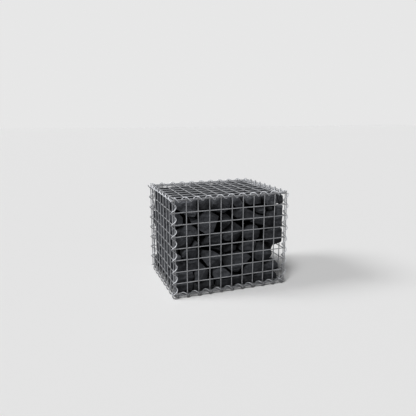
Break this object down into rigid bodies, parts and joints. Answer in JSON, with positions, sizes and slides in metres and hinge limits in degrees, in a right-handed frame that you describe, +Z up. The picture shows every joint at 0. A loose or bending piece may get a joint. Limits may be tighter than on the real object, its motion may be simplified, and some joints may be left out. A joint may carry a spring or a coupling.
{
  "type": "gabion wall unit, one welded mesh basket filled with stone",
  "caption": "Free-standing gabion: a rectangular basket of welded wire mesh panels laced with spiral binders and filled with loose broken stone.",
  "frame": {"origin": "on the ground, under the middle of the basket", "axes": "+X along the long front, +Y from the front to the back, +Z up"},
  "size_m": [0.5326, 0.427, 0.4323],
  "materials": {
    "galvanised_wire": "satin",
    "broken_stone": "matte"
  },
  "bodies": {
    "root": {"back_left_binder": "galvanised_wire", "back_panel": "galvanised_wire", "back_right_binder": "galvanised_wire", "base_back_binder": "galvanised_wire", "base_front_binder": "galvanised_wire", "base_left_binder": "galvanised_wire", "base_panel": "galvanised_wire", "base_right_binder": "galvanised_wire", "front_left_binder": "galvanised_wire", "front_panel": "galvanised_wire", "front_right_binder": "galvanised_wire", "left_panel": "galvanised_wire", "lid_back_binder": "galvanised_wire", "lid_front_binder": "galvanised_wire", "lid_left_binder": "galvanised_wire", "lid_panel": "galvanised_wire", "lid_right_binder": "galvanised_wire", "right_panel": "galvanised_wire", "stone_course_1": "broken_stone", "stone_course_2": "broken_stone", "stone_course_3": "broken_stone", "stone_course_4": "broken_stone"}
  },
  "joints": []
}
